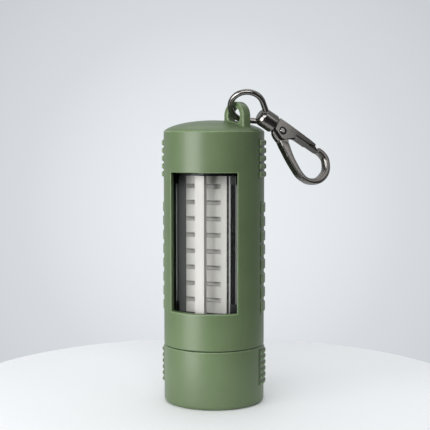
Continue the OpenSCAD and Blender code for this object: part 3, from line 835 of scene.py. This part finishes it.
# ------------------------------------------------------------------ clasp
def sweep(name, path, radius, place, body, stands_for, mat, cap_round=True, sides=28, attr=None):
    """Round wire along a path of points in the local frame."""
    path = np.asarray(path, float)
    m = len(path)
    tan = np.gradient(path, axis=0)
    tan /= np.linalg.norm(tan, axis=1)[:, None]
    nrm = np.tile(np.array([0, 1.0, 0]), (m, 1))
    b = np.cross(tan, nrm)
    b /= np.linalg.norm(b, axis=1)[:, None]
    t = np.linspace(0, 2 * math.pi, sides + 1)[:-1]
    V = path[:, None, :] + radius * (np.cos(t)[None, :, None] * nrm[:, None, :] + np.sin(t)[None, :, None] * b[:, None, :])
    faces = grid_faces(m, sides, closed_cols=True)
    verts = V.reshape(-1, 3)
    k = m * sides
    verts = np.concatenate([verts, path[:1], path[-1:]])
    for j in range(sides):
        faces.append((j, (j + 1) % sides, k))
        faces.append(((m - 1) * sides + j, (m - 1) * sides + (j + 1) % sides, k + 1))
    return new_object(name, place(verts), faces, body, stands_for, mat)


def build_ring():
    la = math.radians(55.4)
    end = math.radians(360) - la
    arc = [(RING_X + RING_R * math.cos(a), 0, RING_R * math.sin(a)) for a in np.linspace(la, end, 110)]
    d = np.array([math.sin(la), 0, -math.cos(la)])
    p0 = np.array(arc[0])
    leg0 = [p0 + d * t for t in np.linspace(4.45, 0.15, 14)]
    p1 = np.array(arc[-1])
    d1 = np.array([math.sin(la), 0, math.cos(la)])
    leg1 = [p1 + d1 * t for t in np.linspace(0.15, 4.45, 14)]
    path = np.array([*leg0, *arc, *leg1])
    return sweep("ring_wire", path, WIRE_R, ring_frame, "ring", ("clasp_ring",), GUN, sides=32)


def lathe(name, prof, place, body, stands_for, mat, n=96, axis="x"):
    """prof: closed list of (along, radius)."""
    t = np.linspace(0, 2 * math.pi, n + 1)[:-1]
    P = np.array([[(s, r * math.cos(q), r * math.sin(q)) if axis == "x" else (r * math.cos(q), r * math.sin(q), s) for q in t] for s, r in prof])
    faces = grid_faces(len(prof), n, closed_rows=True, closed_cols=True)
    return new_object(name, place(P.reshape(-1, 3)), faces, body, stands_for, mat, merge=0.0005)


def rounded(points, radius=0.15, n=4):
    """Rounds the corners of a closed polyline (along, radius)."""
    out = []
    p = [np.array(q, float) for q in points]
    for i in range(len(p)):
        a, b, c = p[i - 1], p[i], p[(i + 1) % len(p)]
        u, w = a - b, c - b
        lu, lw = np.linalg.norm(u), np.linalg.norm(w)
        if lu < 1e-6 or lw < 1e-6:
            continue
        r = min(radius, lu * 0.45, lw * 0.45)
        s, e = b + u / lu * r, b + w / lw * r
        for k in range(n + 1):
            t = k / n
            out.append(tuple((1 - t) ** 2 * s + 2 * t * (1 - t) * b + t * t * e))
    return out


def build_barrel():
    pts = [(3.95, 0.001), (3.95, 1.5), (4.35, 2.2), (4.95, 2.62), (5.15, 2.72), (9.2, 2.72), (9.5, 2.42), (9.5, 1.15), (8.45, 1.15), (8.45, 1.95), (7.0, 1.95), (7.0, 0.001)]
    return lathe("barrel", rounded(pts, 0.2, 4), ring_frame, "ring", ("swivel_barrel",), GUN)


SPINE = [[0.9, -3.2, 1.5], [2.57, -4.49, 1.16], [5.12, -6.5, 0.91], [7.58, -8.05, 0.81], [10.11, -9.37, 0.72],
         [12.55, -9.73, 0.68], [14.66, -9.06, 0.76], [16.5, -7.5, 0.96], [17.52, -5.39, 1.04], [17.73, -3.39, 0.98],
         [17.11, -1.61, 0.96], [15.98, -0.09, 0.92], [14.24, 0.61, 0.86], [12.63, 0.71, 0.8]]
CHEEK_GAP_R = 3.06


def build_hook():
    q = catmull(SPINE, 12)
    riv = np.array([RIVET_A, RIVET_B])
    q = q[np.argmax(np.linalg.norm(q[:, :2] - riv, axis=1) > 4.3):]
    q[:, 2] += 0.08
    m = len(q)
    tan = np.gradient(q[:, :2], axis=0)
    tan /= np.linalg.norm(tan, axis=1)[:, None]
    nrm = np.stack([-tan[:, 1], tan[:, 0]], 1)
    ht = 1.32
    sec = []
    rows = []
    for i in range(m):
        w = q[i, 2]
        # flat bar behind the cheek, nearly round in the bend, flatter again at the nose
        rc = min(0.32 + 0.5 * float(smoothstep((q[i, 0] - 9.5) / 5.0)), w * 0.8)
        ring = []
        for qx, qz, a0 in ((1, 1, 0), (-1, 1, 90), (-1, -1, 180), (1, -1, 270)):
            for a in np.linspace(a0, a0 + 90, 6):
                r_ = math.radians(a)
                ring.append((qx * (w - rc) + rc * math.cos(r_), qz * (ht - rc) + rc * math.sin(r_)))
        rows.append([(q[i, 0] + nrm[i, 0] * u, q[i, 1] + nrm[i, 1] * u, v) for u, v in ring])
    V = np.array(rows)
    # the start follows the round of the cheek, the nose is rounded off
    def on_arc(row, k, rho):
        c = np.array([*q[0, :2], 0.0])
        r0 = c + (row - c) * np.array([k, k, k])
        d = tan[0]
        w = r0[:, :2] - riv
        wd = w @ d
        t = wd - np.sqrt(wd ** 2 - (w ** 2).sum(1) + rho ** 2)
        xy = r0[:, :2] - t[:, None] * d
        xy += np.maximum(0, (xy[:, 1] + 3.02 + (rho - CHEEK_GAP_R)) / -d[1])[:, None] * d
        return np.concatenate([xy, r0[:, 2:]], 1)

    start = [on_arc(V[0], 0.88, CHEEK_GAP_R), on_arc(V[0], 0.97, CHEEK_GAP_R + 0.04), on_arc(V[0], 1.0, CHEEK_GAP_R + 0.14)]
    stop = []
    c = np.array([q[-1, 0], q[-1, 1], 0])
    t = np.array([tan[-1, 0], tan[-1, 1], 0])
    for off, k in ((0.08, 0.96), (0.15, 0.86), (0.19, 0.72)):
        stop.append(c + (V[-1] - c) * k + t * off)
    V = np.array([*start, *V, *stop])
    M, n = V.shape[:2]
    faces = grid_faces(M, n, closed_cols=True)
    faces.append(tuple(range(n)))
    faces.append(tuple((M - 1) * n + j for j in range(n)))
    hook = new_object("hook_spine", hook_frame(V.reshape(-1, 3)), faces, "hook", ("hook_body",), GUN_HOOK)
    # thin root between the cheeks, with the rivet's hole left to the rivet
    out = [[-3.6, 0.9], [-2.6, 0.95], [-1, 0.95], [0.4, 0.5], [1.4, -0.2], [2, -1.2], [2.9, -2.6], [3.1, -3.6], [2.4, -4.9],
           [0.6, -4.3], [-0.5, -4.3], [-1.7, -3.85], [-2.7, -3.1], [-3.15, -2.2], [-3.1, -1], [-3.3, -0.9], [-3.6, -0.9]]
    plate("hook_root", rounded(out, 0.3, 4), -0.65, 0.65, "hook", GUN_HOOK, 0.08)
    lathe("hook_stem", rounded([(7.3, 0.001), (7.3, 1.1), (9.5, 1.1), (9.61, 0.95), (9.61, 0.001)], 0.05, 3), spin_frame, "hook", (), GUN_HOOK, n=48)
    return hook


def plate(name, outline, z0, z1, body, mat, edge, stands_for=(), holes=None):
    """Flat plate from an outline in the hook's frame, with bevelled edges."""
    me = bpy.data.meshes.new(name)
    bm = bmesh.new()
    vs = [bm.verts.new((x, y, z0)) for x, y in outline]
    f = bm.faces.new(vs)
    ret = bmesh.ops.extrude_face_region(bm, geom=[f])
    for v in ret["geom"]:
        if isinstance(v, bmesh.types.BMVert):
            v.co.z = z1
    bmesh.ops.recalc_face_normals(bm, faces=bm.faces)
    rim = [e for e in bm.edges if len(e.link_faces) == 2 and e.calc_face_angle(0) > math.radians(50)]
    bmesh.ops.bevel(bm, geom=rim, offset=edge, segments=3, profile=0.5, affect="EDGES", clamp_overlap=True)
    for v in bm.verts:
        v.co = Vector(hook_frame(np.array(v.co))) * MM
    bm.normal_update()
    bm.to_mesh(me)
    bm.free()
    for p in me.polygons:
        p.use_smooth = True
    ob = bpy.data.objects.new(name, me)
    scene.collection.objects.link(ob)
    me.materials.append(mat)
    mod = ob.modifiers.new("wn", "WEIGHTED_NORMAL")
    mod.keep_sharp = False
    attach(ob, body)
    if stands_for:
        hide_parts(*stands_for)
    return ob


def build_rivet():
    # dark rings in the rivet's seats: painted shadow in the recess round the rivet heads
    for k, s in enumerate((1, -1)):
        z = HOOK_T / 2 * s
        ring_pts = [(z - 0.30 * s, 0.90), (z - 0.30 * s, 1.20), (z - 0.16 * s, 1.20), (z - 0.20 * s, 0.90)]
        lathe("rivet_shadow_ring_%d" % (k + 1), rounded(ring_pts, 0.03, 2), lambda p: hook_frame(np.asarray(p) + np.array([RIVET_A, RIVET_B, 0])), "gate", (), SEAT_SHADOW, n=48, axis="z")
    for k, s in enumerate((1, -1)):
        z = HOOK_T / 2 * s
        prof = [(1.2 * s, 0.001), (1.2 * s, 0.85), (z - 0.10 * s, 0.85), (z - 0.02 * s, 0.80), (z + 0.05 * s, 0.62), (z + 0.09 * s, 0.35), (z + 0.1 * s, 0.001)]
        t = lambda p: hook_frame(np.asarray(p) + np.array([RIVET_A, RIVET_B, 0]))
        lathe("rivet_head_%d" % (k + 1), prof, t, "hook", ("gate_rivet",) if k == 0 else (), RIVET, n=48, axis="z")


# ------------------------------------------------------------------ build
shell = build_shell()
lug = build_lug()
cap = build_cap()
ring = build_ring()
barrel = build_barrel()
hook = build_hook()
build_rivet()


def dress(node, mat, width=None, segments=2, slot_name=None):
    ob = NODES[node]
    ob.data.materials.clear()
    ob.data.materials.append(mat)
    if width:
        bevel(ob, width, segments)
    for p in ob.data.polygons:
        p.use_smooth = True
    if width:
        m = ob.modifiers.new("wn", "WEIGHTED_NORMAL")
        m.keep_sharp = False


dress("gate_lever", GUN_GATE, 0.16, 3)
dress("rack_panel", PANEL, 0.12)
dress("magnet_rail", WHITE, 0.18, 3)
if "side_bars" in NODES:
    dress("side_bars", BARS, 0.06)
dress("rack_foot", BLACK, 0.15)
dress("rack_head", BLACK, 0.15)
dress("magnet_cover", BLACK, 0.1)
dress("panel_magnets", MAGNET, 0.08)
dress("rail_magnet", LINER, 0.05)
dress("foot_screws", SCREW)
dress("head_screws", SCREW)
dress("cover_screws", SCREW)
dress("o_ring", RUBBER)
dress("tube_gaskets", RUBBER)
dress("back_liner", LINER)
dress("clear_tube", CLEAR)
dress("stem_washer", GUN)
dress("gate_spring", SPRING)


# ------------------------------------------------------------------ stage
def stage_material(name, col, rough=0.55):
    mat, nt, b, _ = nodes_of(name)
    b.inputs["Base Color"].default_value = (*col, 1)
    b.inputs["Roughness"].default_value = rough
    b.inputs["Specular IOR Level"].default_value = 0.2
    return mat


def plane(name, verts, mat):
    me = bpy.data.meshes.new(name)
    me.from_pydata(verts, [], [tuple(range(len(verts)))])
    ob = bpy.data.objects.new(name, me)
    scene.collection.objects.link(ob)
    me.materials.append(mat)
    return ob


def podium():
    """Round pale table top with a rounded rim, standing just behind the case's middle."""
    n, r, e = 256, 85.0, 1.2
    cx, cy = -13 * math.sin(math.radians(13.5)), 13 * math.cos(math.radians(13.5))
    prof = [(0.001, 0.0), (30, 0.0), (60, 0.0), (r - e, 0.0)]
    prof += [(r - e + e * math.sin(math.radians(a)), -e + e * math.cos(math.radians(a))) for a in range(10, 91, 10)]
    prof += [(r, -14.0), (0.001, -14.0)]
    t = np.linspace(0, 2 * math.pi, n + 1)[:-1]
    P = np.array([[(cx + q * math.cos(a), cy + q * math.sin(a), z) for a in t] for q, z in prof])
    me = bpy.data.meshes.new("podium")
    me.from_pydata([tuple(v) for v in P.reshape(-1, 3) * MM], [], grid_faces(len(prof), n, closed_cols=True))
    for p in me.polygons:
        p.use_smooth = True
    ob = bpy.data.objects.new("podium", me)
    scene.collection.objects.link(ob)
    me.materials.append(stage_material("podium_pale", (0.91, 0.925, 0.94)))
    return ob


podium()


def studio_world():
    """Pale backdrop behind the case; the studio itself is dim, brighter on the left and overhead, dark on the right."""
    w = bpy.data.worlds.new("World")
    w.use_nodes = True
    nt = w.node_tree
    nt.nodes.clear()
    out = nt.nodes.new("ShaderNodeOutputWorld")
    tc = nt.nodes.new("ShaderNodeTexCoord")
    a = math.radians(13.5)
    view = (-math.sin(a), math.cos(a), -0.07)
    left = (-math.cos(a) * 0.8, -math.sin(a) * 0.8, 0.6)

    def along(direction, lo, hi, stops):
        d = nt.nodes.new("ShaderNodeVectorMath")
        d.operation = "DOT_PRODUCT"
        d.inputs[1].default_value = Vector(direction).normalized()
        nt.links.new(tc.outputs["Generated"], d.inputs[0])
        return ramp(nt, maprange(nt, d.outputs["Value"], lo, hi, 0, 1), stops)

    back = nt.nodes.new("ShaderNodeBackground")
    nt.links.new(along(view, math.cos(math.radians(15)), 1.0, [(0.0, (0.60, 0.63, 0.655)), (0.55, (0.68, 0.71, 0.74)), (1.0, (0.83, 0.865, 0.895))]), back.inputs[0])
    room = nt.nodes.new("ShaderNodeBackground")
    behind = along((-math.sin(a), math.cos(a), 0.05), -1.0, 1.0, [(0.0, (0.13, 0.13, 0.13)), (0.5, (0.26, 0.265, 0.27)), (0.75, (0.45, 0.465, 0.48)), (1.0, (0.60, 0.62, 0.64))])
    side = along(left, -1.0, 1.0, [(0.0, (0.62, 0.62, 0.62)), (0.45, (0.85, 0.85, 0.85)), (1.0, (1.15, 1.15, 1.15))])
    nt.links.new(mix(nt, 1.0, behind, side, "MULTIPLY"), room.inputs[0])
    dark = nt.nodes.new("ShaderNodeBackground")
    right_up = along((math.cos(a) * 0.85, math.sin(a) * 0.85, 0.53), -1.0, 1.0, [(0.0, (0.30, 0.30, 0.31)), (0.35, (0.12, 0.12, 0.12)), (0.80, (0.03, 0.03, 0.03)), (0.93, (0.30, 0.30, 0.30)), (1.0, (0.45, 0.45, 0.44))])
    far = along((-math.sin(a), math.cos(a), 0.05), -1.0, 1.0, [(0.0, (0.02, 0.02, 0.02)), (0.55, (0.10, 0.10, 0.10)), (0.8, (0.42, 0.43, 0.44)), (1.0, (0.60, 0.62, 0.64))])
    nt.links.new(mix(nt, 1.0, right_up, far, "LIGHTEN"), dark.inputs[0])
    lp = nt.nodes.new("ShaderNodeLightPath")
    mx = nt.nodes.new("ShaderNodeMixShader")
    nt.links.new(lp.outputs["Is Camera Ray"], mx.inputs[0])
    mg = nt.nodes.new("ShaderNodeMixShader")
    nt.links.new(lp.outputs["Is Glossy Ray"], mg.inputs[0])
    nt.links.new(room.outputs[0], mg.inputs[1])
    nt.links.new(dark.outputs[0], mg.inputs[2])
    nt.links.new(mg.outputs[0], mx.inputs[1])
    nt.links.new(back.outputs[0], mx.inputs[2])
    nt.links.new(mx.outputs[0], out.inputs[0])
    scene.world = w


studio_world()


def area(name, loc, target, size, power, color=(1, 1, 1)):
    li = bpy.data.lights.new(name, "AREA")
    li.shape = "RECTANGLE"
    li.size, li.size_y = size
    li.energy = power
    li.color = color
    ob = bpy.data.objects.new(name, li)
    scene.collection.objects.link(ob)
    ob.location = loc
    d = Vector(target) - Vector(loc)
    ob.rotation_euler = d.to_track_quat("-Z", "Y").to_euler()
    ob.visible_camera = False
    return ob


def at(az, el, dist, target=(0, 0, 0.045)):
    """A place seen from the target: az as the camera's azimuth, el above the horizon."""
    a, e = math.radians(az), math.radians(el)
    return (target[0] + dist * math.sin(a) * math.cos(e), target[1] - dist * math.cos(a) * math.cos(e), target[2] + dist * math.sin(e))


T = (0, 0, 0.045)
area("key", at(13.5 - 50, 3, 0.62), T, (0.42, 0.42), 4.05)
area("front", at(13.5 - 6, 30, 0.75), T, (0.6, 0.3), 2.9)
area("top", at(13.5 + 160, 78, 0.9), T, (1.1, 1.1), 4.0)
area("right_card", at(13.5 + 60, 27, 0.8), (0.025, 0, 0.08), (0.22, 0.22), 0.22)

scene.view_settings.view_transform = "Standard"
scene.view_settings.look = "None"
